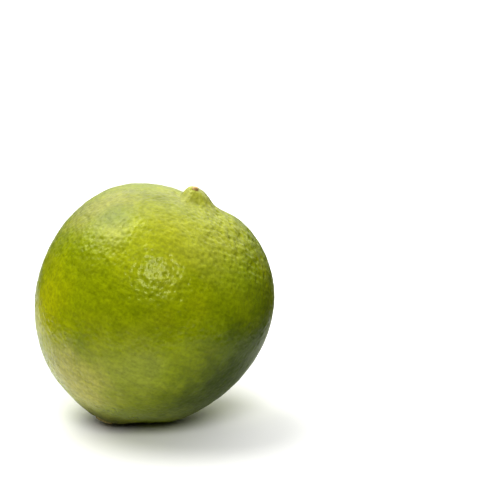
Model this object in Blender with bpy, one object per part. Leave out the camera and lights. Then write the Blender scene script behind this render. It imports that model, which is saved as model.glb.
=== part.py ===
"""A whole key lime, as picked: one solid, resting on the small flat that its own weight presses.

Units are metres and +Z is up. The origin is the middle of the flat, on the table.
The fruit's own frame has +Z along the core, towards the style end with its nipple.
"""

import math
import random
from typing import NamedTuple

import bmesh
import bpy
from mathutils import Matrix, Vector, kdtree

MM = 0.001

# The body: its radius is a sum of cosines of the angle from the style end.
MEAN_RADIUS = 21.55 * MM
TAPER = -0.30 * MM  # fuller towards the stem end
OVAL = 0.25 * MM  # longer along the core than across it
SHOULDERS = -0.40 * MM  # full shoulders round the nipple
SQUARENESS = -0.25 * MM  # sides a little flat
CROSS_LOBES = 3  # the cross-section is faintly three-sided
CROSS_LOBE_HEIGHT = 0.18 * MM

# How the fruit lies: the core leans to the right, and its middle is this high, a little beside the flat's.
LEAN = math.radians(20.8)
CENTRE = Vector((0.89, -0.28, 21.55)) * MM

# The nipple at the style end: a low knob, flared to one side, with a moat on the other.
NIPPLE_HEIGHT = 2.10 * MM
NIPPLE_RADIUS = 2.45 * MM
NIPPLE_STEEPNESS = 3.4
NIPPLE_FLARE = 0.24
MOAT_DEPTH = 0.30 * MM
MOAT_RADIUS = 3.6 * MM
MOAT_WIDTH = 0.9 * MM
MOAT_SIDE = math.radians(180.0)

# The dry stub of the style sits a little off the nipple's middle.
STUB_POLAR = math.radians(2.6)
STUB_AZIMUTH = math.radians(-115.0)
STUB_RADIUS = 0.68 * MM
STUB_HEIGHT = 0.20 * MM
SCAR_STEEPNESS = 5.0  # both scars are flat on top, with a steep edge

# The stem end: a swollen collar, and in it a shallow basin with a corky disc where the stalk broke off.
STEM_POLAR = math.radians(167.0)
STEM_AZIMUTH = math.radians(-102.0)
COLLAR_HEIGHT = 0.80 * MM
COLLAR_RADIUS = 5.2 * MM
BASIN_DEPTH = 0.70 * MM
BASIN_RADIUS = 3.0 * MM
DISC_RADIUS = 1.7 * MM
DISC_HEIGHT = 0.40 * MM

# Faint furrows that run out from both ends, one between each two segments of the flesh.
SEGMENTS = 10
FURROW_DEPTH = 0.10 * MM
FURROW_START = 0.35  # where they begin, as a share of their reach
STYLE_FURROW_REACH = 4.2 * MM
STEM_FURROW_REACH = 6.0 * MM

# The oil glands: larger than life, each a pit at a corner or the middle of a coarse face.
COARSE_SUBDIVISIONS = 4
CUTS_PER_EDGE = 2
PIT_DEPTH = 0.11 * MM
PIT_DEPTH_SPREAD = 0.55
SHIFT = 0.13  # how far a point strays, as a share of an edge's length
GLAND_TOLERANCE = 1e-4
SEED = 11

# Points are drawn in to both ends, so that the small forms there are drawn finely.
DRAW_IN_REACH = math.radians(21.0)
STYLE_DRAW_IN = 0.52
STEM_DRAW_IN = 0.35

# Points nearer to the table than this are moved onto it, so that no sliver is left at the flat's rim.
FLAT_SNAP = 0.04 * MM

SKIN_COLOUR = (0.262, 0.345, 0.006, 1.0)
SKIN_ROUGHNESS = 0.38
SCAR_COLOUR = (0.423, 0.258, 0.111, 1.0)
SCAR_ROUGHNESS = 0.85


class Swell(NamedTuple):
    """A broad rise or hollow of the body, centred at a polar angle and an azimuth, in degrees."""

    height: float
    width: float
    polar: float
    azimuth: float


SWELLS = (
    Swell(height=0.35 * MM, width=34.0, polar=126.0, azimuth=190.0),
    Swell(height=0.25 * MM, width=17.0, polar=98.0, azimuth=177.0),
    Swell(height=0.30 * MM, width=14.0, polar=39.0, azimuth=155.0),
    Swell(height=-0.80 * MM, width=30.0, polar=128.0, azimuth=-8.0),
    Swell(height=-0.85 * MM, width=16.0, polar=155.0, azimuth=-46.0),
    Swell(height=-0.75 * MM, width=17.0, polar=17.0, azimuth=60.0),
    Swell(height=0.60 * MM, width=13.0, polar=153.0, azimuth=-20.0),
    Swell(height=0.30 * MM, width=30.0, polar=80.0, azimuth=-95.0),
    Swell(height=-0.25 * MM, width=28.0, polar=95.0, azimuth=110.0),
)


def direction(polar: float, azimuth: float) -> Vector:
    """The unit vector at these angles, in radians, from the core and round it."""
    across = math.sin(polar)
    return Vector((across * math.cos(azimuth), across * math.sin(azimuth), math.cos(polar)))


STYLE_END = Vector((0.0, 0.0, 1.0))
STUB_SPOT = direction(STUB_POLAR, STUB_AZIMUTH)
STEM_END = direction(STEM_POLAR, STEM_AZIMUTH)


def hill(distance: float, reach: float, power: float = 2.0) -> float:
    """1 in the middle, falling to nothing past its reach."""
    return math.exp(-((distance / reach) ** power))


def turn_about(end: Vector, point: Vector) -> float:
    """The angle of a point round one end of the core, from the fruit's own +X."""
    across = Vector((1.0, 0.0, 0.0))
    side = (across - end * across.dot(end)).normalized()
    return math.atan2(point.dot(end.cross(side)), point.dot(side))


def furrows(end: Vector, point: Vector, distance: float, reach: float) -> float:
    """The depth of the furrows that run out from one end."""
    wave = 0.5 - 0.5 * math.cos(SEGMENTS * turn_about(end, point))
    start = 1.0 - hill(distance, FURROW_START * reach)
    return FURROW_DEPTH * wave * start * hill(distance, reach)


def body_radius(point: Vector) -> float:
    """The radius of the smooth body in this direction."""
    polar = point.angle(STYLE_END)
    azimuth = math.atan2(point.y, point.x)
    waves = (MEAN_RADIUS, TAPER, OVAL, SHOULDERS, SQUARENESS)
    radius = sum(size * math.cos(k * polar) for k, size in enumerate(waves))
    radius += CROSS_LOBE_HEIGHT * math.sin(polar) ** 2 * math.cos(CROSS_LOBES * azimuth)
    for swell in SWELLS:
        centre = direction(math.radians(swell.polar), math.radians(swell.azimuth))
        radius += swell.height * hill(point.angle(centre), math.radians(swell.width))
    return radius


def style_relief(point: Vector) -> float:
    """The nipple, its moat, its furrows and the stub of the style."""
    distance = MEAN_RADIUS * point.angle(STYLE_END)
    moat_share = 0.5 + 0.5 * math.cos(turn_about(STYLE_END, point) - MOAT_SIDE)
    nipple_reach = NIPPLE_RADIUS * (1.0 + NIPPLE_FLARE * (1.0 - moat_share))
    return (
        NIPPLE_HEIGHT * hill(distance, nipple_reach, NIPPLE_STEEPNESS)
        - MOAT_DEPTH * moat_share * hill(distance - MOAT_RADIUS, MOAT_WIDTH)
        - furrows(STYLE_END, point, distance, STYLE_FURROW_REACH)
        + STUB_HEIGHT * hill(MEAN_RADIUS * point.angle(STUB_SPOT), STUB_RADIUS, SCAR_STEEPNESS)
    )


def stem_relief(point: Vector) -> float:
    """The basin at the stem end, its furrows and the disc that the stalk left."""
    distance = MEAN_RADIUS * point.angle(STEM_END)
    return (
        COLLAR_HEIGHT * hill(distance, COLLAR_RADIUS)
        - BASIN_DEPTH * hill(distance, BASIN_RADIUS)
        + DISC_HEIGHT * hill(distance, DISC_RADIUS, SCAR_STEEPNESS)
        - furrows(STEM_END, point, distance, STEM_FURROW_REACH)
    )


def is_scar(point: Vector) -> bool:
    """Whether this direction lies on the style's stub or on the stem disc."""
    on_stub = MEAN_RADIUS * point.angle(STUB_SPOT) < STUB_RADIUS
    return on_stub or MEAN_RADIUS * point.angle(STEM_END) < DISC_RADIUS


def drawn_in(point: Vector, end: Vector, share: float) -> Vector:
    """The direction moved towards an end, most of all near it."""
    angle = point.angle(end)
    if angle < 1e-6:
        return point
    moved = angle * (1.0 - share * hill(angle, DRAW_IN_REACH))
    return Matrix.Rotation(moved - angle, 3, end.cross(point)) @ point


def strayed(point: Vector, draw: random.Random, edge: float) -> Vector:
    """The direction moved a little at random, so that the glands don't stand in rows."""
    shift = Vector([draw.gauss(0.0, SHIFT * edge) for _ in range(3)])
    return (point + shift).normalized()


def gland_tree(bm: bmesh.types.BMesh) -> kdtree.KDTree:
    """The gland places: the corners and the middles of the coarse sphere's faces."""
    places = [v.co.normalized() for v in bm.verts]
    places += [f.calc_center_median().normalized() for f in bm.faces]
    tree = kdtree.KDTree(len(places))
    for index, place in enumerate(places):
        tree.insert(place, index)
    tree.balance()
    return tree


def pitted_sphere(bm: bmesh.types.BMesh) -> set[bmesh.types.BMVert]:
    """Makes a unit sphere whose glands each have a point, ringed by six others. Returns those points."""
    bmesh.ops.create_icosphere(bm, subdivisions=COARSE_SUBDIVISIONS, radius=1.0)
    tree = gland_tree(bm)
    bmesh.ops.subdivide_edges(bm, edges=bm.edges, cuts=CUTS_PER_EDGE, use_grid_fill=True)
    for vert in bm.verts:
        vert.co.normalize()
    return {v for v in bm.verts if tree.find(v.co)[2] < GLAND_TOLERANCE}


def shape_fruit(bm: bmesh.types.BMesh) -> None:
    """Moves a sphere's points to the skin of the fruit, with the scars' faces in the second material."""
    glands = pitted_sphere(bm)
    draw = random.Random(SEED)
    fine_edge = sum(e.calc_length() for e in bm.edges) / len(bm.edges)
    ways = {}
    for vert in bm.verts:
        way = strayed(vert.co, draw, fine_edge)
        way = drawn_in(way, STYLE_END, STYLE_DRAW_IN)
        ways[vert] = drawn_in(way, STEM_END, STEM_DRAW_IN)
    for face in bm.faces:
        middle = sum((ways[v] for v in face.verts), Vector()).normalized()
        face.material_index = int(is_scar(middle))
    for vert, way in ways.items():
        radius = body_radius(way) + style_relief(way) + stem_relief(way)
        if vert in glands and not is_scar(way):
            radius -= PIT_DEPTH * (1.0 + PIT_DEPTH_SPREAD * draw.uniform(-1.0, 1.0))
        vert.co = way * radius


def press_flat(bm: bmesh.types.BMesh) -> None:
    """Cuts the fruit off at the table, which leaves the small flat that it rests on."""
    cut = bmesh.ops.bisect_plane(
        bm,
        geom=bm.verts[:] + bm.edges[:] + bm.faces[:],
        dist=FLAT_SNAP,
        plane_co=(0.0, 0.0, 0.0),
        plane_no=(0.0, 0.0, -1.0),
        use_snap_center=True,
        clear_outer=True,
    )
    rim = [e for e in cut["geom_cut"] if isinstance(e, bmesh.types.BMEdge)]
    bmesh.ops.holes_fill(bm, edges=rim)
    bmesh.ops.triangulate(bm, faces=[f for f in bm.faces if len(f.verts) > 3])
    bmesh.ops.recalc_face_normals(bm, faces=bm.faces)


def plain_material(name: str, colour: tuple, roughness: float) -> bpy.types.Material:
    """A Principled material of one colour."""
    material = bpy.data.materials.new(name)
    material.use_nodes = True
    shader = material.node_tree.nodes["Principled BSDF"]
    shader.inputs["Base Color"].default_value = colour
    shader.inputs["Roughness"].default_value = roughness
    shader.inputs["Metallic"].default_value = 0.0
    return material


def make_fruit(collection: bpy.types.Collection) -> bpy.types.Object:
    """Builds the lime as one closed solid that stands on the table."""
    bm = bmesh.new()
    shape_fruit(bm)
    bm.transform(Matrix.Translation(CENTRE) @ Matrix.Rotation(LEAN, 4, "Y"))
    press_flat(bm)
    mesh = bpy.data.meshes.new("lime_fruit")
    bm.to_mesh(mesh)
    bm.free()
    mesh.shade_smooth()
    mesh.materials.append(plain_material("lime_skin", SKIN_COLOUR, SKIN_ROUGHNESS))
    mesh.materials.append(plain_material("corky_scar", SCAR_COLOUR, SCAR_ROUGHNESS))
    fruit = bpy.data.objects.new("lime_fruit", mesh)
    collection.objects.link(fruit)
    return fruit


def main() -> None:
    """Clears the scene and builds the lime."""
    for old in list(bpy.data.objects):
        bpy.data.objects.remove(old)
    collection = bpy.data.collections.new("key_lime")
    bpy.context.scene.collection.children.link(collection)
    make_fruit(collection)


if __name__ == "__main__":
    main()
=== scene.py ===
"""A whole key lime, dressed: its waxy rind with the oil glands, the dry end of the style and the stem scar.

Units are metres and +Z is up. The origin is the middle of the small flat that the fruit rests on.
The fruit's own frame has +Z along the core, towards the style end with its nipple, and a direction
in it is a unit vector from the fruit's middle.
"""

import logging
import math
import random
from dataclasses import dataclass
from enum import Enum

import bmesh
import bpy
import numpy as np
from mathutils import Matrix, Vector, kdtree, noise


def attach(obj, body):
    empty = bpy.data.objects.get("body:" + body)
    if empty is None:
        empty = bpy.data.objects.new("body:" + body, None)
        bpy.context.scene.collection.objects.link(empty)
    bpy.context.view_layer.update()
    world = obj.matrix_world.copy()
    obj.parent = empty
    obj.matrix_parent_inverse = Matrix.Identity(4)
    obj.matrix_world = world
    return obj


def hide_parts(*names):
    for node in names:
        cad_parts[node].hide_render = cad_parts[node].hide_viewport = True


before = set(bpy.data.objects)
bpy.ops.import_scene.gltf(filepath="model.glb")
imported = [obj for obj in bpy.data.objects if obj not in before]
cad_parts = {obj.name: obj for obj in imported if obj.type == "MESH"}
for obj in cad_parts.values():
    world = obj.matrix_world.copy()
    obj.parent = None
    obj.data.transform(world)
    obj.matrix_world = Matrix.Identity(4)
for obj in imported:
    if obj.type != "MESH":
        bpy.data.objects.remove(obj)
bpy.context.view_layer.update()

LOG = logging.getLogger("key_lime")
MM = 0.001
NODE = "lime_fruit"
BODY = "root"
WHITE = (1.0, 1.0, 1.0, 1.0)

Socket = bpy.types.NodeSocket


def per_mm(size: float) -> float:
    """The scale of a noise pattern whose features are about this many millimetres wide."""
    return 1.0 / (size * MM)


def linear(code: str) -> tuple[float, float, float, float]:
    """Turns an sRGB colour into the linear one that a shader takes.

    Args:
        code: Six hex digits after a hash, such as "#9aa500".

    Returns:
        Linear red, green, blue and an alpha of 1.
    """
    parts = [int(code[i : i + 2], 16) / 255.0 for i in (1, 3, 5)]
    red, green, blue = (p / 12.92 if p <= 0.04045 else ((p + 0.055) / 1.055) ** 2.4 for p in parts)
    return (red, green, blue, 1.0)


def way(polar: float, azimuth: float) -> np.ndarray:
    """The direction at these angles.

    Args:
        polar: Degrees from the style end.
        azimuth: Degrees round the core, from the fruit's own +X.

    Returns:
        A unit vector in the fruit's own frame.
    """
    tilt, turn = math.radians(polar), math.radians(azimuth)
    return np.array((math.sin(tilt) * math.cos(turn), math.sin(tilt) * math.sin(turn), math.cos(tilt)))


def hill(distance: np.ndarray, reach: float | np.ndarray, power: float = 2.0) -> np.ndarray:
    """1 in the middle, falling to nothing past its reach.

    Args:
        distance: How far each point is from the middle.
        reach: Where the height has fallen to 0.37.
        power: How flat the top is and how steep the side.

    Returns:
        A height from 0 to 1 for each point.
    """
    return np.exp(-(np.abs(distance / reach) ** power))


def angles_to(ways: np.ndarray, spot: np.ndarray) -> np.ndarray:
    """The angle between each direction and one spot, in radians."""
    return np.arccos(np.clip(ways @ spot, -1.0, 1.0))


def turns_about(ways: np.ndarray, end: np.ndarray) -> np.ndarray:
    """The angle of each direction round one end of the core.

    Args:
        ways: Directions, one a row.
        end: The direction of the end.

    Returns:
        Radians from the fruit's own +X.
    """
    across = np.array((1.0, 0.0, 0.0))
    side = across - end * (across @ end)
    side /= np.linalg.norm(side)
    return np.arctan2(ways @ np.cross(end, side), ways @ side)


class End(Enum):
    """The two ends of the core: the polar angle and the azimuth of each, in degrees."""

    STYLE = (0.0, 0.0)
    STEM = (167.0, -102.0)

    def spot(self) -> np.ndarray:
        """The end's direction."""
        return way(*self.value)


@dataclass(frozen=True)
class Swell:
    """A broad rise or hollow of the body: its height in metres, the rest in degrees."""

    height: float
    width: float
    polar: float
    azimuth: float


@dataclass(frozen=True)
class LimeForm:
    """The lime's shape without its glands: a radius for each direction from its middle."""

    mean_radius: float = 21.55 * MM
    taper: float = -0.30 * MM  # fuller towards the stem end
    oval: float = 0.25 * MM  # longer along the core
    shoulders: float = -0.40 * MM  # full shoulders round the nipple
    squareness: float = -0.25 * MM  # sides a little flat
    lobes: int = 3
    lobe_height: float = 0.18 * MM
    lean: float = math.radians(20.8)
    centre: tuple[float, float, float] = (0.89 * MM, -0.28 * MM, 21.55 * MM)
    nipple_height: float = 2.10 * MM
    nipple_radius: float = 2.02 * MM
    nipple_steepness: float = 5.6  # on the moat's side
    nipple_slackness: float = 3.3  # how much less steep it is on the other side
    nipple_flare: float = 0.70  # how much wider it is on that other side
    moat_depth: float = 0.30 * MM
    moat_radius: float = 3.1 * MM
    moat_width: float = 0.9 * MM
    moat_side: float = math.radians(143.0)
    collar_height: float = 1.20 * MM
    collar_radius: float = 4.5 * MM
    basin_depth: float = 1.00 * MM
    basin_radius: float = 2.7 * MM
    segments: int = 10  # of the flesh, with a furrow outside each wall between two
    style_furrow_depth: float = 0.10 * MM
    stem_furrow_depth: float = 0.12 * MM
    furrow_start: float = 0.35  # as a share of the reach
    furrow_sharpness: float = 1.5
    furrow_sway: float = 0.9  # how unevenly they stand
    furrow_sway_waves: int = 3  # round the core
    furrow_sway_phase: float = 1.0
    style_furrow_reach: float = 4.2 * MM
    stem_furrow_reach: float = 6.0 * MM
    swells: tuple[Swell, ...] = (
        Swell(height=0.35 * MM, width=34.0, polar=126.0, azimuth=190.0),
        Swell(height=0.25 * MM, width=17.0, polar=98.0, azimuth=177.0),
        Swell(height=0.30 * MM, width=14.0, polar=39.0, azimuth=155.0),
        Swell(height=-0.80 * MM, width=30.0, polar=128.0, azimuth=-8.0),
        Swell(height=-0.85 * MM, width=16.0, polar=155.0, azimuth=-46.0),
        Swell(height=-0.75 * MM, width=17.0, polar=17.0, azimuth=60.0),
        Swell(height=0.60 * MM, width=13.0, polar=153.0, azimuth=-20.0),
        Swell(height=0.30 * MM, width=30.0, polar=80.0, azimuth=-95.0),
        Swell(height=-0.25 * MM, width=28.0, polar=95.0, azimuth=110.0),
        Swell(height=0.55 * MM, width=14.0, polar=23.0, azimuth=-8.0),
        Swell(height=0.48 * MM, width=8.5, polar=164.0, azimuth=-88.0),
    )

    def own_to_world(self) -> Matrix:
        """The move from the fruit's own frame to where it lies on the table."""
        return Matrix.Translation(self.centre) @ Matrix.Rotation(self.lean, 4, "Y")

    def distance(self, ways: np.ndarray, spot: np.ndarray) -> np.ndarray:
        """How far each direction is from a spot, in metres along the skin."""
        return self.mean_radius * angles_to(ways, spot)

    def body(self, ways: np.ndarray) -> np.ndarray:
        """The radius of the smooth body.

        Args:
            ways: Directions, one a row.

        Returns:
            Metres from the fruit's middle, one a direction.
        """
        polar = angles_to(ways, End.STYLE.spot())
        azimuth = np.arctan2(ways[:, 1], ways[:, 0])
        waves = (self.mean_radius, self.taper, self.oval, self.shoulders, self.squareness)
        radius = sum(size * np.cos(k * polar) for k, size in enumerate(waves))
        radius = radius + self.lobe_height * np.sin(polar) ** 2 * np.cos(self.lobes * azimuth)
        for swell in self.swells:
            away = angles_to(ways, way(swell.polar, swell.azimuth))
            radius += swell.height * hill(away, math.radians(swell.width))
        return radius

    def furrows(self, ways: np.ndarray, end: End) -> np.ndarray:
        """How deep in a furrow that runs out from one end each direction is.

        Args:
            ways: Directions, one a row.
            end: The end that they run out from.

        Returns:
            A share from 0 to 1, one a direction.
        """
        reach = self.style_furrow_reach if end is End.STYLE else self.stem_furrow_reach
        away = self.distance(ways, end.spot())
        turn = turns_about(ways, end.spot())
        sway = self.furrow_sway * np.sin(self.furrow_sway_waves * turn + self.furrow_sway_phase)
        wave = 0.5 - 0.5 * np.cos(self.segments * turn + sway)
        start = 1.0 - hill(away, self.furrow_start * reach)
        return wave**self.furrow_sharpness * start * hill(away, reach)

    def style_end(self, ways: np.ndarray) -> np.ndarray:
        """The height of the nipple, less its moat and its furrows."""
        away = self.distance(ways, End.STYLE.spot())
        turn = turns_about(ways, End.STYLE.spot())
        moat_share = 0.5 + 0.5 * np.cos(turn - self.moat_side)
        reach = self.nipple_radius * (1.0 + self.nipple_flare * (1.0 - moat_share))
        steepness = self.nipple_steepness - self.nipple_slackness * (1.0 - moat_share)
        moat = self.moat_depth * moat_share * hill(away - self.moat_radius, self.moat_width)
        nipple = self.nipple_height * np.exp(-((away / reach) ** steepness))
        return nipple - moat - self.style_furrow_depth * self.furrows(ways, End.STYLE)

    def stem_end(self, ways: np.ndarray) -> np.ndarray:
        """The height of the collar, less its basin and its furrows."""
        away = self.distance(ways, End.STEM.spot())
        collar = self.collar_height * hill(away, self.collar_radius)
        basin = self.basin_depth * hill(away, self.basin_radius)
        return collar - basin - self.stem_furrow_depth * self.furrows(ways, End.STEM)

    def radius(self, ways: np.ndarray) -> np.ndarray:
        """The radius of the whole form, without glands, in metres."""
        return self.body(ways) + self.style_end(ways) + self.stem_end(ways)

    def placed(self, ways: np.ndarray, radii: np.ndarray) -> np.ndarray:
        """Puts points where the fruit lies on the table.

        Args:
            ways: Directions in the fruit's own frame, one a row.
            radii: How far out each point is, in metres.

        Returns:
            Points in the world, one a row.
        """
        move = np.array(self.own_to_world())
        return (ways * radii[:, None]) @ move[:3, :3].T + move[:3, 3]

    def seat(self, spot: np.ndarray, reach: float) -> Matrix:
        """A frame on the skin for a small piece, with +Z straight out and +X to the fruit's right.

        Args:
            spot: The direction of its origin.
            reach: The radius of the skin under the piece, in metres, whose tilt it takes.

        Returns:
            The move from the piece's frame to the world.
        """
        step = reach / self.mean_radius
        along = np.cross(np.array((0.0, 1.0, 0.0)), spot)
        along /= np.linalg.norm(along)
        up = np.cross(spot, along)
        ring = np.array(
            [spot, spot + step * along, spot + step * up, spot - step * along, spot - step * up]
        )
        ring /= np.linalg.norm(ring, axis=1)[:, None]
        points = [Vector(p) for p in self.placed(ring, self.radius(ring))]
        across = (points[1] - points[3]).normalized()
        out = across.cross(points[2] - points[4]).normalized()
        turned = Matrix((across, out.cross(across), out)).transposed().to_4x4()
        return Matrix.Translation(points[0]) @ turned


@dataclass(frozen=True)
class Coarseness:
    """A part of the skin where the pits are deeper, or shallower: its place and width in degrees."""

    polar: float
    azimuth: float
    width: float
    gain: float  # added to 1 in its middle


@dataclass(frozen=True)
class OilGlands:
    """The rind's oil glands: shallow pits, the large ones set first and small ones between them."""

    largest: float = 0.48 * MM  # radius
    smallest: float = 0.24 * MM
    gap: float = 1.08  # middles are apart by this many times the sum of two radii
    tries: int = 42000
    size_power: int = 6  # how quickly they get smaller from try to try
    depth_share: float = 0.20  # of the radius
    depth_spread: float = 0.45
    pit_width: float = 0.85  # of the radius, where the depth has fallen to 0.37
    pit_power: float = 2.4  # how flat its floor is and how steep its side
    pit_rim: float = 2.0  # nothing past this many radii
    bare_reach: float = 1.6 * MM  # no pits this near to a scar
    bare_power: float = 4.0
    coarse_parts: tuple[Coarseness, ...] = (
        Coarseness(polar=36.0, azimuth=-38.0, width=21.0, gain=2.3),
        Coarseness(polar=62.0, azimuth=-95.0, width=16.0, gain=0.45),
        Coarseness(polar=57.0, azimuth=-130.0, width=10.0, gain=0.9),
        Coarseness(polar=90.0, azimuth=-132.0, width=24.0, gain=-0.5),
        Coarseness(polar=100.0, azimuth=80.0, width=30.0, gain=0.4),
    )
    seed: int = 11

    def coarseness(self, ways: np.ndarray) -> np.ndarray:
        """How coarse the skin is in each direction, where 1 is ordinary."""
        gain = np.ones(len(ways))
        for part in self.coarse_parts:
            away = angles_to(ways, way(part.polar, part.azimuth))
            gain += part.gain * hill(away, math.radians(part.width))
        return gain

    def scatter(self, radius: float) -> list[tuple[np.ndarray, float]]:
        """Scatters the glands over the fruit, none too close to another.

        Args:
            radius: The fruit's mean radius, in metres.

        Returns:
            Each gland's direction and its own radius in metres.
        """
        draw = np.random.default_rng(self.seed)
        ways = draw.normal(size=(self.tries, 3))
        ways /= np.linalg.norm(ways, axis=1)[:, None]
        tree = kdtree.KDTree(self.tries)
        for index, spot in enumerate(ways):
            tree.insert(spot * radius, index)
        tree.balance()
        falling = (1.0 - np.linspace(0.0, 1.0, self.tries)) ** self.size_power
        sizes = self.smallest + (self.largest - self.smallest) * falling
        room = np.full(self.tries, np.inf)
        glands = []
        for index, spot in enumerate(ways):
            size = sizes[index]
            if room[index] < size:
                continue
            glands.append((spot, size))
            for _, other, apart in tree.find_range(spot * radius, self.gap * (size + self.largest)):
                room[other] = min(room[other], apart / self.gap - size)
        return glands

    def pits(self, form: LimeForm, ways: np.ndarray) -> tuple[np.ndarray, np.ndarray]:
        """Works out the pit at each point of the skin.

        Args:
            form: The fruit's shape.
            ways: The directions of the skin's points, one a row.

        Returns:
            The depth in metres, and how much each point is on a gland, from 0 to 1.
        """
        tree = kdtree.KDTree(len(ways))
        for index, spot in enumerate(ways):
            tree.insert(spot * form.mean_radius, index)
        tree.balance()
        draw = random.Random(self.seed)
        depth = np.zeros(len(ways))
        share = np.zeros(len(ways))
        for spot, size in self.scatter(form.mean_radius):
            deep = self.depth_share * size * (1.0 + self.depth_spread * draw.uniform(-1.0, 1.0))
            for _, index, apart in tree.find_range(spot * form.mean_radius, self.pit_rim * size):
                height = math.exp(-((apart / (self.pit_width * size)) ** self.pit_power))
                depth[index] += deep * height
                share[index] = max(share[index], height)
        depth *= self.coarseness(ways)
        for end in End:
            pitted = 1.0 - hill(form.distance(ways, end.spot()), self.bare_reach, self.bare_power)
            depth *= pitted
            share *= pitted
        return depth, share


def put(
    tree: bpy.types.NodeTree,
    kind: str,
    sockets: dict[int | str, object] | None = None,
    **settings: object,
) -> bpy.types.Node:
    """Adds a node to a material or a world.

    Args:
        tree: The node tree.
        kind: The node's Blender type.
        sockets: For each input, its value, or the output that it takes its value from.
        settings: The node's own properties.

    Returns:
        The new node.
    """
    node = tree.nodes.new(kind)
    for name, value in settings.items():
        setattr(node, name, value)
    for name, value in (sockets or {}).items():
        if isinstance(value, bpy.types.NodeSocket):
            tree.links.new(value, node.inputs[name])
        else:
            node.inputs[name].default_value = value
    return node


def new_material(name: str) -> tuple[bpy.types.Material, bpy.types.NodeTree, bpy.types.Node]:
    """Makes a material with a Principled shader.

    Args:
        name: Its name.

    Returns:
        The material, its node tree and the shader.
    """
    material = bpy.data.materials.new(name)
    material.use_nodes = True
    tree = material.node_tree
    return material, tree, tree.nodes["Principled BSDF"]


@dataclass(frozen=True)
class Tint:
    """A colour laid over another by a share that follows a pattern, or the distance from a place."""

    colour: str
    start: float  # the value where the share is the first one
    end: float  # the value where it is the last one
    first: float
    last: float
    soft: bool = True  # eases in and out


def laid_over(
    tree: bpy.types.NodeTree,
    under: Socket | tuple[float, ...],
    value: Socket,
    tint: Tint,
    within: Socket | None = None,
) -> tuple[Socket, Socket]:
    """Lays a tint over a colour.

    Args:
        tree: The node tree.
        under: The colour under it.
        value: The pattern or the distance that its share follows.
        tint: The colour, and how its share follows the value.
        within: A pattern that the share is multiplied by, if any.

    Returns:
        The new colour, and the share.
    """
    share = put(
        tree,
        "ShaderNodeMapRange",
        {
            "Value": value,
            "From Min": tint.start,
            "From Max": tint.end,
            "To Min": tint.first,
            "To Max": tint.last,
        },
        interpolation_type="SMOOTHSTEP" if tint.soft else "LINEAR",
    ).outputs[0]
    if within is not None:
        share = put(tree, "ShaderNodeMath", {0: share, 1: within}, operation="MULTIPLY").outputs[0]
    colour = put(
        tree, "ShaderNodeMix", {0: share, 6: under, 7: linear(tint.colour)}, data_type="RGBA"
    ).outputs[2]
    return colour, share


@dataclass(frozen=True)
class BlushAndLightPatch:
    """A patch of the rind laid paler or darker: its middle's angles in degrees, and its reach. Some are the
    skin's own ripening, others painted shade and painted reflection, marked where they are listed.
    """

    polar: float
    azimuth: float
    reach_mm: float
    colour: str
    strength: float
    dullness: float = 0.0  # added to the roughness in its middle, where the wax is thin


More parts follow.
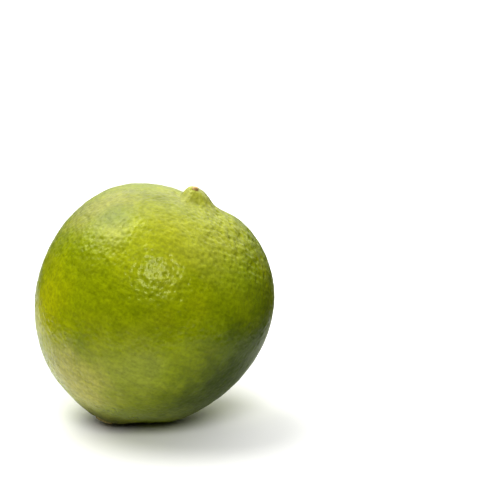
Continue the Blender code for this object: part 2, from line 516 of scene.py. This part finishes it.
@dataclass(frozen=True)
class WaxyRind:
    """The rind of a ripe key lime: thin living skin under its own wax, grown and never polished.

    The wax gives a soft satin shine that the glands break into sparkles, and the skin under it is
    mottled from deep green to yellow green, darker over each gland. Its furrows hold painted shade, and
    some of its patches painted shade and painted reflection.
    """

    name: str = "lime_rind_waxy"
    fresh: str = "#8e9c02"
    deep: Tint = Tint("#7c8e02", start=0.34, end=0.50, first=0.5, last=0.0)  # low in the mottling
    ripe: Tint = Tint("#a4a906", start=0.50, end=0.68, first=0.0, last=0.5)  # high in it
    streaked: Tint = Tint("#a4a906", start=0.35, end=0.65, first=0.0, last=0.22, soft=False)
    # painted shade: the furrows darker
    furrow_shade: Tint = Tint("#8a8c14", start=0.0, end=1.0, first=0.0, last=0.25, soft=False)
    over_gland: Tint = Tint("#6c7d02", start=0.0, end=1.0, first=0.0, last=0.12, soft=False)
    nipple: Tint = Tint("#aeb038", start=1.5 * MM, end=9.0 * MM, first=0.5, last=0.0)
    nipple_middle: float = 1.06  # how far out it is, in mean radii
    stalk: Tint = Tint("#424006", start=3.5 * MM, end=8.8 * MM, first=0.9, last=0.0)
    stalk_dullness: float = 0.45
    rays: Tint = Tint("#c2c464", start=3.0 * MM, end=11.0 * MM, first=0.455, last=0.0, soft=False)
    ray_width: float = 0.2  # radians round the core
    ray_band: tuple[float, float] = (0.42, 0.66)  # of their pattern, from none to all
    # the skin's own blushes, with painted shade and painted reflection where marked
    blushes_and_painted_light: tuple[BlushAndLightPatch, ...] = (
        # paler top round the nipple: partly the skin's own paler tone, partly painted reflection of the
        # pale surroundings
        BlushAndLightPatch(polar=22.0, azimuth=-105.0, reach_mm=14.0, colour="#a0a23e", strength=0.55),
        BlushAndLightPatch(polar=45.0, azimuth=-104.0, reach_mm=8.5, colour="#aeb00c", strength=0.5),
        # painted reflection: a pale grey sheen of the overhead light on the upper left
        BlushAndLightPatch(polar=46.0, azimuth=-160.0, reach_mm=10.0, colour="#a49e5c", strength=0.55),
        BlushAndLightPatch(polar=45.5, azimuth=-143.0, reach_mm=4.5, colour="#66761c", strength=0.6),
        BlushAndLightPatch(polar=36.0, azimuth=-60.0, reach_mm=10.0, colour="#b0b438", strength=0.6),
        # painted highlight: a pale sheen patch of the overhead light
        BlushAndLightPatch(polar=54.0, azimuth=-131.0, reach_mm=3.5, colour="#b8ba60", strength=0.35),
        BlushAndLightPatch(polar=80.0, azimuth=-136.0, reach_mm=10.0, colour="#9eaa06", strength=0.65),
        BlushAndLightPatch(polar=86.0, azimuth=-92.0, reach_mm=12.0, colour="#7c8a04", strength=0.2),
        # painted reflection of the white floor on the lower left
        BlushAndLightPatch(polar=133.0, azimuth=-122.0, reach_mm=11.0, colour="#bcb264", strength=0.65),
        # painted shade on the right side
        BlushAndLightPatch(polar=94.0, azimuth=-26.0, reach_mm=17.0, colour="#3c5000", strength=0.9, dullness=0.2),
        # painted shade on the lower right
        BlushAndLightPatch(polar=118.0, azimuth=-36.0, reach_mm=15.0, colour="#344402", strength=0.85, dullness=0.3),
        BlushAndLightPatch(polar=110.0, azimuth=-152.0, reach_mm=8.0, colour="#c6be20", strength=0.4),
        BlushAndLightPatch(polar=75.0, azimuth=-107.0, reach_mm=7.0, colour="#a2ae06", strength=0.45),
        BlushAndLightPatch(polar=95.0, azimuth=-90.0, reach_mm=6.0, colour="#9ca428", strength=0.4),
        BlushAndLightPatch(polar=107.0, azimuth=-121.0, reach_mm=5.0, colour="#707c00", strength=0.5),
        BlushAndLightPatch(polar=98.0, azimuth=-152.0, reach_mm=9.5, colour="#bec202", strength=0.65),
        # painted reflection of the floor on the lower front
        BlushAndLightPatch(polar=112.0, azimuth=-92.0, reach_mm=9.0, colour="#989c50", strength=0.4),
        BlushAndLightPatch(polar=66.0, azimuth=-78.0, reach_mm=6.0, colour="#a6b204", strength=0.4),
        BlushAndLightPatch(polar=25.0, azimuth=-152.0, reach_mm=7.0, colour="#888c30", strength=0.5),
        BlushAndLightPatch(polar=66.0, azimuth=-57.0, reach_mm=6.0, colour="#96a60a", strength=0.5),
        BlushAndLightPatch(polar=49.0, azimuth=-52.0, reach_mm=6.0, colour="#a4b220", strength=0.5),
        BlushAndLightPatch(polar=56.0, azimuth=-34.0, reach_mm=6.0, colour="#8ca214", strength=0.4),
        # painted shade on the underside, front right
        BlushAndLightPatch(polar=132.0, azimuth=-76.0, reach_mm=8.0, colour="#5a640c", strength=0.45),
        # painted shade on the right side
        BlushAndLightPatch(polar=79.0, azimuth=-52.0, reach_mm=6.0, colour="#5a6c00", strength=0.45),
        BlushAndLightPatch(polar=97.0, azimuth=-104.0, reach_mm=7.0, colour="#a0a818", strength=0.4),
        # painted shadow under the style stub
        BlushAndLightPatch(polar=7.5, azimuth=-92.0, reach_mm=1.7, colour="#505608", strength=0.8),
        BlushAndLightPatch(polar=67.0, azimuth=-134.0, reach_mm=6.5, colour="#7c8a00", strength=0.4),
        BlushAndLightPatch(polar=60.0, azimuth=-90.0, reach_mm=4.0, colour="#b4b82c", strength=0.3),
        # painted shade beside the nipple
        BlushAndLightPatch(polar=13.0, azimuth=-132.0, reach_mm=5.2, colour="#68701e", strength=0.5),
        BlushAndLightPatch(polar=63.0, azimuth=-113.0, reach_mm=4.5, colour="#acb210", strength=0.4),
        BlushAndLightPatch(polar=97.0, azimuth=62.0, reach_mm=13.0, colour="#9aa010", strength=0.4),
        BlushAndLightPatch(polar=108.0, azimuth=150.0, reach_mm=11.0, colour="#6f8206", strength=0.4),
    )
    patch_core: float = 0.2  # of the reach, up to where it has its full strength
    patch_edge: float = 1.1  # of the reach, where it ends
    patch_warp_mm: float = 5.0  # how far their edges wander
    patch_steady_mm: float = 4.6  # the edges of those with this reach or less don't wander
    mottle_mm: float = 9.0
    streak_mm: float = 0.80
    streak_length_mm: float = 2.4  # round the core
    speckle_mm: float = 0.55
    speckle_band: tuple[float, float] = (0.75, 1.25)  # of the speckle and the streak together
    speckle_gain: tuple[float, float] = (0.84, 1.16)  # how much darker and lighter it makes the skin
    grain_mm: float = 0.70  # the real one, about 0.3 mm, is too fine to show
    grain_height: float = 0.085 * MM
    roughness: float = 0.30
    roughness_spread: float = 0.05
    roughness_band: tuple[float, float] = (0.35, 0.65)  # of the mottling
    ior: float = 1.38
    wax: str = "#f4f6ae"
    coat: float = 0.13
    coat_roughness: float = 0.12

    def lay_patches(
        self, tree: bpy.types.NodeTree, form: LimeForm, own: Socket, colour: Socket
    ) -> tuple[Socket, Socket]:
        """Lays the patches over the skin's colour: its own blushes, and painted shade and painted
        reflection.

        Args:
            tree: The node tree.
            form: The fruit's shape.
            own: The place in the fruit's own frame.
            colour: The colour under them.

        Returns:
            The new colour, and what they add to the roughness.
        """
        wander = put(
            tree,
            "ShaderNodeTexNoise",
            {"Vector": own, "Scale": per_mm(self.patch_warp_mm), "Detail": 3.0},
        ).outputs[1]
        wander = put(
            tree, "ShaderNodeVectorMath", {0: wander, 1: (0.5, 0.5, 0.5)}, operation="SUBTRACT"
        ).outputs[0]
        warped = put(
            tree,
            "ShaderNodeVectorMath",
            {0: wander, 1: (2.0 * self.patch_warp_mm * MM,) * 3, 2: own},
            operation="MULTIPLY_ADD",
        ).outputs[0]
        dull = 0.0
        for rind_patch in self.blushes_and_painted_light:
            spot = way(rind_patch.polar, rind_patch.azimuth)
            middle = spot * form.radius(spot[None, :])[0]
            place = warped if rind_patch.reach_mm > self.patch_steady_mm else own
            away = put(
                tree, "ShaderNodeVectorMath", {0: place, 1: tuple(middle)}, operation="DISTANCE"
            ).outputs[1]
            tint = Tint(
                rind_patch.colour,
                start=self.patch_core * rind_patch.reach_mm * MM,
                end=self.patch_edge * rind_patch.reach_mm * MM,
                first=rind_patch.strength,
                last=0.0,
            )
            colour, share = laid_over(tree, colour, away, tint)
            if rind_patch.dullness:
                duller = {0: share, 1: rind_patch.dullness, 2: dull}
                dull = put(tree, "ShaderNodeMath", duller, operation="MULTIPLY_ADD").outputs[0]
        return colour, dull

    def ray_pattern(self, tree: bpy.types.NodeTree, own: Socket) -> Socket:
        """Adds the pattern of rays that run out from the core.

        Args:
            tree: The node tree.
            own: The place in the fruit's own frame.

        Returns:
            How much each place is on a ray, from 0 to 1.
        """
        flat = put(
            tree, "ShaderNodeVectorMath", {0: own, 1: (1.0, 1.0, 0.0)}, operation="MULTIPLY"
        ).outputs[0]
        round_core = put(tree, "ShaderNodeVectorMath", {0: flat}, operation="NORMALIZE").outputs[0]
        ray = put(
            tree,
            "ShaderNodeTexNoise",
            {"Vector": round_core, "Scale": 1.0 / self.ray_width, "Detail": 2.0, "Roughness": 0.6},
        ).outputs[0]
        return put(
            tree,
            "ShaderNodeMapRange",
            {"Value": ray, "From Min": self.ray_band[0], "From Max": self.ray_band[1]},
        ).outputs[0]

    def speckled(self, tree: bpy.types.NodeTree, own: Socket, streak: Socket, colour: Socket) -> Socket:
        """Makes the skin's colour a little darker and lighter in fine marks.

        Args:
            tree: The node tree.
            own: The place in the fruit's own frame.
            streak: The pattern of short streaks.
            colour: The colour without them.

        Returns:
            The new colour.
        """
        speckle = put(
            tree,
            "ShaderNodeTexNoise",
            {"Vector": own, "Scale": per_mm(self.speckle_mm), "Detail": 1.0, "Roughness": 0.5},
        ).outputs[0]
        marks = put(tree, "ShaderNodeMath", {0: speckle, 1: streak}, operation="ADD").outputs[0]
        gain = put(
            tree,
            "ShaderNodeMapRange",
            {
                "Value": marks,
                "From Min": self.speckle_band[0],
                "From Max": self.speckle_band[1],
                "To Min": self.speckle_gain[0],
                "To Max": self.speckle_gain[1],
            },
        ).outputs[0]
        return put(
            tree, "ShaderNodeVectorMath", {0: colour, "Scale": gain}, operation="SCALE"
        ).outputs[0]

    def build(self, form: LimeForm) -> bpy.types.Material:
        """Makes the material.

        Args:
            form: The fruit's shape, for where the patterns sit.

        Returns:
            The material, which reads the point attributes "gland" and "furrow".
        """
        material, tree, shader = new_material(self.name)
        place = put(tree, "ShaderNodeTexCoord").outputs["Object"]
        own = put(
            tree,
            "ShaderNodeMapping",
            {"Vector": place, "Location": form.centre, "Rotation": (0.0, form.lean, 0.0)},
            vector_type="TEXTURE",
        ).outputs[0]
        mottle = put(
            tree,
            "ShaderNodeTexNoise",
            {"Vector": own, "Scale": per_mm(self.mottle_mm), "Detail": 3.0, "Roughness": 0.55},
        ).outputs[0]
        stretched = put(
            tree,
            "ShaderNodeMapping",
            {"Vector": own, "Scale": (self.streak_mm / self.streak_length_mm,) * 2 + (1.0,)},
        ).outputs[0]
        streak = put(
            tree,
            "ShaderNodeTexNoise",
            {"Vector": stretched, "Scale": per_mm(self.streak_mm), "Detail": 2.0, "Roughness": 0.5},
        ).outputs[0]
        colour, _ = laid_over(tree, linear(self.fresh), mottle, self.deep)
        colour, _ = laid_over(tree, colour, mottle, self.ripe)
        colour, _ = laid_over(tree, colour, streak, self.streaked)
        colour, dull = self.lay_patches(tree, form, own, colour)

        from_style, from_stem = (
            put(
                tree, "ShaderNodeVectorMath", {0: own, 1: tuple(middle)}, operation="DISTANCE"
            ).outputs[1]
            for middle in (
                End.STYLE.spot() * form.mean_radius * self.nipple_middle,
                End.STEM.spot() * form.mean_radius,
            )
        )
        colour, _ = laid_over(tree, colour, from_style, self.nipple)
        colour, stalk = laid_over(tree, colour, from_stem, self.stalk)
        dull = put(
            tree, "ShaderNodeMath", {0: stalk, 1: self.stalk_dullness, 2: dull}, operation="MULTIPLY_ADD"
        ).outputs[0]
        colour, _ = laid_over(tree, colour, from_style, self.rays, self.ray_pattern(tree, own))
        # the furrows' painted shade, and each gland's own darker colour
        for attribute, tint in (("furrow", self.furrow_shade), ("gland", self.over_gland)):
            value = put(tree, "ShaderNodeAttribute", attribute_name=attribute).outputs["Fac"]
            colour, _ = laid_over(tree, colour, value, tint)
        colour = self.speckled(tree, own, streak, colour)
        tree.links.new(colour, shader.inputs["Base Color"])

        shine = put(
            tree,
            "ShaderNodeMapRange",
            {
                "Value": mottle,
                "From Min": self.roughness_band[0],
                "From Max": self.roughness_band[1],
                "To Min": self.roughness - self.roughness_spread,
                "To Max": self.roughness + self.roughness_spread,
            },
        ).outputs[0]
        roughness = put(tree, "ShaderNodeMath", {0: shine, 1: dull}, operation="ADD").outputs[0]
        tree.links.new(roughness, shader.inputs["Roughness"])
        grain = put(
            tree,
            "ShaderNodeTexNoise",
            {"Vector": own, "Scale": per_mm(self.grain_mm), "Detail": 1.5, "Roughness": 0.6},
        ).outputs[0]
        bump = put(
            tree, "ShaderNodeBump", {"Height": grain, "Distance": self.grain_height, "Strength": 1.0}
        ).outputs[0]
        tree.links.new(bump, shader.inputs["Normal"])
        tree.links.new(bump, shader.inputs["Coat Normal"])
        shader.inputs["IOR"].default_value = self.ior
        shader.inputs["Specular Tint"].default_value = linear(self.wax)
        shader.inputs["Coat Weight"].default_value = self.coat
        shader.inputs["Coat Roughness"].default_value = self.coat_roughness
        return material


@dataclass(frozen=True)
class DeadTissue:
    """Dead plant tissue, dry and matt: pale, but brown round one place and in patches of its grain."""

    name: str
    pale: str
    brown: str
    grain_mm: float
    grain_detail: float
    grain_height: float
    roughness: float
    core_band: tuple[float, float]  # from its brownest place, where that brown fades
    core_share: float
    patch_band: tuple[float, float]  # of the grain's value
    patch_share: float

    def build(self, brownest: Vector) -> bpy.types.Material:
        """Makes the material.

        Args:
            brownest: The place where it is brownest.

        Returns:
            The material.
        """
        material, tree, shader = new_material(self.name)
        place = put(tree, "ShaderNodeTexCoord").outputs["Object"]
        grain = put(
            tree,
            "ShaderNodeTexNoise",
            {"Vector": place, "Scale": per_mm(self.grain_mm), "Detail": self.grain_detail},
        ).outputs[0]
        away = put(
            tree, "ShaderNodeVectorMath", {0: place, 1: tuple(brownest)}, operation="DISTANCE"
        ).outputs[1]
        core, patches = (
            put(
                tree,
                "ShaderNodeMapRange",
                {"Value": value, "From Min": start, "From Max": end, "To Min": first, "To Max": last},
                interpolation_type=easing,
            ).outputs[0]
            for value, (start, end), first, last, easing in (
                (away, self.core_band, self.core_share, 0.0, "SMOOTHSTEP"),
                (grain, self.patch_band, 0.0, self.patch_share, "LINEAR"),
            )
        )
        brownness = put(
            tree, "ShaderNodeMath", {0: core, 1: patches}, operation="ADD", use_clamp=True
        ).outputs[0]
        colour = put(
            tree,
            "ShaderNodeMix",
            {0: brownness, 6: linear(self.pale), 7: linear(self.brown)},
            data_type="RGBA",
        ).outputs[2]
        tree.links.new(colour, shader.inputs["Base Color"])
        bump = put(tree, "ShaderNodeBump", {"Height": grain, "Distance": self.grain_height}).outputs[0]
        tree.links.new(bump, shader.inputs["Normal"])
        shader.inputs["Roughness"].default_value = self.roughness
        return material


@dataclass(frozen=True)
class DryStyle(DeadTissue):
    """The dried end of the style, which shrank in the air: fibrous and tan, quite matt."""

    name: str = "style_stub_dried"
    pale: str = "#d0b37c"
    brown: str = "#9a7746"
    grain_mm: float = 0.30
    grain_detail: float = 2.0
    grain_height: float = 0.03 * MM
    roughness: float = 0.8
    core_band: tuple[float, float] = (0.10 * MM, 0.55 * MM)
    core_share: float = 0.8
    patch_band: tuple[float, float] = (0.50, 0.75)
    patch_share: float = 0.4


@dataclass(frozen=True)
class CorkScar(DeadTissue):
    """The scar where the stalk broke off: cork that the fruit grew over the wound, brown and matt."""

    name: str = "stem_scar_cork"
    pale: str = "#a3955a"
    brown: str = "#57481f"
    grain_mm: float = 0.35
    grain_detail: float = 3.0
    grain_height: float = 0.05 * MM
    roughness: float = 0.85
    core_band: tuple[float, float] = (0.34 * MM, 0.85 * MM)
    core_share: float = 0.9
    patch_band: tuple[float, float] = (0.48, 0.70)
    patch_share: float = 0.8


@dataclass(frozen=True)
class SeamlessPaper:
    """The floor: matt white paper, coated and calendered, which gives an even pale ground."""

    name: str = "floor_paper_matt"
    white: str = "#ececea"
    brightest: str = "#f0f0ef"
    drift_mm: float = 400.0
    roughness: float = 0.9
    specular: float = 0.2

    def build(self) -> bpy.types.Material:
        """Makes the material, whose white drifts a little as real paper's does."""
        material, tree, shader = new_material(self.name)
        place = put(tree, "ShaderNodeTexCoord").outputs["Object"]
        drift = put(
            tree, "ShaderNodeTexNoise", {"Vector": place, "Scale": per_mm(self.drift_mm)}
        ).outputs[0]
        colour = put(
            tree,
            "ShaderNodeMix",
            {0: drift, 6: linear(self.white), 7: linear(self.brightest)},
            data_type="RGBA",
        ).outputs[2]
        tree.links.new(colour, shader.inputs["Base Color"])
        shader.inputs["Roughness"].default_value = self.roughness
        shader.inputs["Specular IOR Level"].default_value = self.specular
        return material


def finish_piece(bm: bmesh.types.BMesh, name: str, material: bpy.types.Material) -> bpy.types.Object:
    """Turns a bmesh into a piece that stands for the fruit and rides on its body.

    Args:
        bm: The mesh, in the world's frame, which is freed.
        name: The piece's name.
        material: What it is made of.

    Returns:
        The piece, with its object at the origin.
    """
    mesh = bpy.data.meshes.new(name)
    bm.to_mesh(mesh)
    bm.free()
    mesh.shade_smooth()
    mesh.materials.append(material)
    piece = bpy.data.objects.new(name, mesh)
    bpy.context.scene.collection.objects.link(piece)
    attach(piece, BODY)
    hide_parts(NODE)
    return piece


@dataclass(frozen=True)
class LimeSkin:
    """The rind: one closed skin over the whole fruit, with a pit for each oil gland."""

    form: LimeForm
    glands: OilGlands = OilGlands()
    finish: WaxyRind = WaxyRind()
    coarse_steps: int = 5
    cuts: int = 5
    draw_in_reach: float = math.radians(21.0)
    style_draw_in: float = 0.52  # the points stand closer at the ends, for the small forms there
    stem_draw_in: float = 0.35
    dent_mm: float = 9.0
    dent_height: float = 0.10 * MM
    ripple_mm: float = 1.9
    ripple_height: float = 0.075 * MM

    def sphere(self) -> bmesh.types.BMesh:
        """Makes a fine unit sphere of even triangles."""
        bm = bmesh.new()
        bmesh.ops.create_icosphere(bm, subdivisions=self.coarse_steps, radius=1.0)
        bmesh.ops.subdivide_edges(bm, edges=bm.edges, cuts=self.cuts, use_grid_fill=True)
        return bm

    def drawn_in(self, ways: np.ndarray, end: End, share: float) -> np.ndarray:
        """Moves directions towards an end, most of all near it.

        Args:
            ways: Directions, one a row.
            end: The end.
            share: The share of the angle that is lost right at the end.

        Returns:
            The new directions.
        """
        spot = end.spot()
        angle = angles_to(ways, spot)
        moved = angle * (1.0 - share * hill(angle, self.draw_in_reach))
        side = ways - np.outer(ways @ spot, spot)
        length = np.linalg.norm(side, axis=1)
        side[length > 0.0] /= length[length > 0.0][:, None]
        return np.cos(moved)[:, None] * spot + np.sin(moved)[:, None] * side

    def unevenness(self, ways: np.ndarray) -> np.ndarray:
        """The soft dents and ripples of a grown skin.

        Args:
            ways: Directions, one a row.

        Returns:
            Metres, out or in, one a direction.
        """
        dents = np.empty(len(ways))
        ripples = np.empty(len(ways))
        for index, spot in enumerate(ways * self.form.mean_radius):
            place = Vector(spot)
            dents[index] = noise.noise(place * per_mm(self.dent_mm))
            ripples[index] = noise.noise(place * per_mm(self.ripple_mm))
        return self.dent_height * dents + self.ripple_height * ripples * self.glands.coarseness(ways)

    def build(self) -> bpy.types.Object:
        """Shapes and dresses the rind.

        Returns:
            The piece, with the point attributes "gland" and "furrow".
        """
        bm = self.sphere()
        ways = np.array([v.co for v in bm.verts], float)
        ways /= np.linalg.norm(ways, axis=1)[:, None]
        ways = self.drawn_in(ways, End.STYLE, self.style_draw_in)
        ways = self.drawn_in(ways, End.STEM, self.stem_draw_in)
        pits, share = self.glands.pits(self.form, ways)
        radii = self.form.radius(ways) + self.unevenness(ways) - pits
        points = self.form.placed(ways, radii)
        points[:, 2] = np.maximum(points[:, 2], 0.0)  # the small flat that it rests on
        furrow = sum(self.form.furrows(ways, end) for end in End)
        gland_layer = bm.verts.layers.float.new("gland")
        furrow_layer = bm.verts.layers.float.new("furrow")
        for vert, point, on_gland, in_furrow in zip(bm.verts, points, share, furrow):
            vert.co = point
            vert[gland_layer] = on_gland
            vert[furrow_layer] = in_furrow
        return finish_piece(bm, "rind", self.finish.build(self.form))


def spun(outline: tuple[tuple[float, float], ...], steps: int) -> bmesh.types.BMesh:
    """Spins half a section round +Z into a closed solid.

    Args:
        outline: Points of the half section, in millimetres: out from the axis, and up.
        steps: How many steps one turn has.

    Returns:
        The solid, in metres.
    """
    bm = bmesh.new()
    verts = [bm.verts.new((out * MM, 0.0, up * MM)) for out, up in outline]
    edges = [bm.edges.new(pair) for pair in zip(verts, verts[1:])]
    bmesh.ops.spin(
        bm,
        geom=verts + edges,
        cent=(0.0, 0.0, 0.0),
        axis=(0.0, 0.0, 1.0),
        angle=math.tau,
        steps=steps,
        use_merge=True,
    )
    bmesh.ops.remove_doubles(bm, verts=bm.verts, dist=0.001 * MM)
    bmesh.ops.recalc_face_normals(bm, faces=bm.faces)
    return bm


@dataclass(frozen=True)
class StyleStub:
    """The dry knob that the style left on the nipple."""

    form: LimeForm
    finish: DryStyle = DryStyle()
    polar: float = 2.6
    azimuth: float = -115.0
    steps: int = 36
    outline: tuple[tuple[float, float], ...] = (
        (0.0, 0.24),
        (0.15, 0.22),
        (0.27, 0.28),
        (0.40, 0.28),
        (0.51, 0.20),
        (0.59, 0.05),
        (0.66, -0.14),
        (0.52, -0.32),
        (0.0, -0.34),
    )  # half of its section, in millimetres: out from its axis, and up from the skin
    unevenness: float = 0.07 * MM
    lump_mm: float = 0.5
    lump_seed: int = 1
    seat_reach: float = 0.6 * MM  # of the skin whose tilt it takes
    dark_side: tuple[float, float, float] = (0.15, -0.45, 0.2)  # where it is brownest, in millimetres

    def build(self) -> bpy.types.Object:
        """Shapes and dresses the stub.

        Returns:
            The piece.
        """
        bm = spun(self.outline, self.steps)
        noise.seed_set(self.lump_seed)
        for vert in bm.verts:
            push = noise.noise_vector(vert.co * per_mm(self.lump_mm))
            vert.co += push * self.unevenness
        seat = self.form.seat(way(self.polar, self.azimuth), self.seat_reach)
        bm.transform(seat)
        brownest = seat @ (Vector(self.dark_side) * MM)
        return finish_piece(bm, "style_stub", self.finish.build(brownest))


@dataclass(frozen=True)
class StemButton:
    """The corky disc where the stalk broke off, with a raised rim, a groove and a pit in the middle."""

    form: LimeForm
    finish: CorkScar = CorkScar()
    radius: float = 1.7 * MM
    steps: int = 60
    cracks: int = 9
    crack_depth: float = 0.08 * MM
    crack_sharpness: int = 6
    crack_sway: float = 2.0  # how unevenly they stand
    crack_sway_waves: int = 2
    unevenness: float = 0.06 * MM
    lump_mm: float = 0.7
    lump_seed: int = 1
    seat_reach: float = 1.4 * MM  # of the skin whose tilt it takes
    outline: tuple[tuple[float, float], ...] = (
        (0.0, 0.12),
        (0.18, 0.16),
        (0.36, 0.34),
        (0.62, 0.38),
        (0.88, 0.34),
        (1.08, 0.26),
        (1.22, 0.36),
        (1.42, 0.44),
        (1.60, 0.36),
        (1.74, 0.12),
        (1.84, -0.15),
        (1.40, -0.40),
        (0.0, -0.42),
    )  # half of its section, in millimetres: out from its axis, and up from the skin

    def build(self) -> bpy.types.Object:
        """Shapes and dresses the button.

        Returns:
            The piece.
        """
        bm = spun(self.outline, self.steps)
        noise.seed_set(self.lump_seed)
        for vert in bm.verts:
            out = vert.co.xy.length / self.radius
            turn = math.atan2(vert.co.y, vert.co.x)
            sway = self.crack_sway * math.sin(self.crack_sway_waves * turn)
            crack = max(0.0, math.cos(self.cracks * turn + sway)) ** self.crack_sharpness
            push = noise.noise_vector(vert.co * per_mm(self.lump_mm))
            vert.co += push * self.unevenness
            if vert.co.z > 0.0:
                vert.co.z -= self.crack_depth * crack * min(1.0, out)
        seat = self.form.seat(End.STEM.spot(), self.seat_reach)
        bm.transform(seat)
        return finish_piece(bm, "stem_button", self.finish.build(seat.translation))


@dataclass(frozen=True)
class Softbox:
    """A round soft light, far off: where it stands, how wide it looks and how strong it is."""

    name: str
    elevation: float  # degrees over the table
    azimuth: float  # degrees from the camera's side, to the right
    width: float  # degrees
    strength: float

    def build(self) -> None:
        """Adds the light."""
        light = bpy.data.lights.new(self.name, "SUN")
        light.angle = math.radians(self.width)
        light.energy = self.strength
        lamp = bpy.data.objects.new(self.name, light)
        bpy.context.scene.collection.objects.link(lamp)
        tilt, turn = math.radians(self.elevation), math.radians(self.azimuth)
        out = Vector(
            (math.cos(tilt) * math.sin(turn), -math.cos(tilt) * math.cos(turn), math.sin(tilt))
        )
        lamp.rotation_euler = out.to_track_quat("Z", "Y").to_euler()


@dataclass(frozen=True)
class Glow:
    """A broad pale part of the surroundings, which the fruit's wax mirrors."""

    facing: tuple[float, float, float]  # from the fruit towards its middle
    inner: float  # degrees from the middle where it starts to fade
    outer: float  # degrees from the middle where it has faded away
    strength: float


@dataclass(frozen=True)
class Studio:
    """The white floor, the soft lights, the pale surroundings and the camera."""

    form: LimeForm
    paper: SeamlessPaper = SeamlessPaper()
    floor_left: float = -0.07
    floor_right: float = 0.045  # past the shade, where the floor is as white as what is round it
    floor_front: float = -0.055
    floor_back: float = 1.20  # past the top of the picture
    floor_drop: float = 0.02 * MM
    floor_squares: int = 8  # each way
    lights: tuple[Softbox, ...] = (
        Softbox("key_softbox", elevation=42.0, azimuth=4.0, width=29.0, strength=1.84),
        Softbox("overhead_softbox", elevation=58.0, azimuth=-114.0, width=48.0, strength=1.88),
    )
    room: float = 0.03  # brightness of the dark room round the sweep
    glows: tuple[Glow, ...] = (
        Glow(facing=(0.05, 0.74, 0.67), inner=8.0, outer=58.0, strength=1.15),
        Glow(facing=(0.22, 0.24, 0.94), inner=10.0, outer=70.0, strength=0.60),
    )
    lens: float = 180.0  # in millimetres
    sensor: float = 36.0  # its width, in millimetres
    camera_distance: float = 0.45
    camera_elevation: float = 15.0
    aim_right: float = 17.37 * MM  # where it aims, from the fruit's middle
    aim_up: float = 9.90 * MM
    gamma: float = 0.85  # the contrast of a product photograph
    exposure: float = 0.19

    def build_floor(self) -> None:
        """Lays the floor."""
        bm = bmesh.new()
        bmesh.ops.create_grid(bm, x_segments=self.floor_squares, y_segments=self.floor_squares, size=0.5)
        size = (self.floor_right - self.floor_left, self.floor_back - self.floor_front, 1.0)
        middle = (
            0.5 * (self.floor_right + self.floor_left),
            0.5 * (self.floor_back + self.floor_front),
            -self.floor_drop,
        )
        bmesh.ops.scale(bm, verts=bm.verts, vec=size)
        bmesh.ops.translate(bm, verts=bm.verts, vec=middle)
        mesh = bpy.data.meshes.new("studio_floor")
        bm.to_mesh(mesh)
        bm.free()
        mesh.materials.append(self.paper.build())
        floor = bpy.data.objects.new("studio_floor", mesh)
        bpy.context.scene.collection.objects.link(floor)

    def build_surroundings(self) -> None:
        """Makes the world: white to the eye, and lit like a studio that is dark behind the camera."""
        world = bpy.data.worlds.new("studio_surroundings")
        world.use_nodes = True
        tree = world.node_tree
        tree.nodes.clear()
        facing = put(tree, "ShaderNodeTexCoord").outputs["Generated"]
        light = self.room
        for glow in self.glows:
            cosine = put(
                tree,
                "ShaderNodeVectorMath",
                {0: facing, 1: tuple(Vector(glow.facing).normalized())},
                operation="DOT_PRODUCT",
            ).outputs[1]
            share = put(
                tree,
                "ShaderNodeMapRange",
                {
                    "Value": cosine,
                    "From Min": math.cos(math.radians(glow.outer)),
                    "From Max": math.cos(math.radians(glow.inner)),
                    "To Max": glow.strength,
                },
                interpolation_type="SMOOTHSTEP",
            ).outputs[0]
            light = put(tree, "ShaderNodeMath", {0: light, 1: share}, operation="ADD").outputs[0]
        room = put(tree, "ShaderNodeBackground", {"Color": WHITE, "Strength": light}).outputs[0]
        white = put(tree, "ShaderNodeBackground", {"Color": WHITE}).outputs[0]
        seen = put(tree, "ShaderNodeLightPath").outputs["Is Camera Ray"]
        mixed = put(tree, "ShaderNodeMixShader", {0: seen, 1: room, 2: white}).outputs[0]
        put(tree, "ShaderNodeOutputWorld", {"Surface": mixed})
        bpy.context.scene.world = world

    def build_camera(self) -> None:
        """Sets up the camera at the photograph's viewing angle."""
        tilt = math.radians(self.camera_elevation)
        back = Vector((0.0, -math.cos(tilt), math.sin(tilt)))
        up = Vector((0.0, math.sin(tilt), math.cos(tilt)))
        aim = Vector(self.form.centre) + self.aim_right * Vector((1.0, 0.0, 0.0)) + self.aim_up * up
        data = bpy.data.cameras.new("camera")
        data.lens = self.lens
        data.sensor_width = self.sensor
        camera = bpy.data.objects.new("camera", data)
        camera.location = aim + self.camera_distance * back
        camera.rotation_euler = (math.radians(90.0 - self.camera_elevation), 0.0, 0.0)
        bpy.context.scene.collection.objects.link(camera)
        bpy.context.scene.camera = camera

    def build(self) -> None:
        """Builds the whole studio."""
        self.build_floor()
        self.build_surroundings()
        self.build_camera()
        for light in self.lights:
            light.build()
        view = bpy.context.scene.view_settings
        view.view_transform = "Standard"
        view.gamma = self.gamma
        view.exposure = self.exposure


def main() -> None:
    """Builds the studio and the lime."""
    logging.basicConfig(level=logging.INFO, format="%(name)s: %(message)s")
    form = LimeForm()
    Studio(form).build()
    LOG.info("studio ready")
    for part in (LimeSkin(form), StyleStub(form), StemButton(form)):
        piece = part.build()
        LOG.info("%s: %d faces", piece.name, len(piece.data.polygons))


if __name__ == "__main__":
    main()
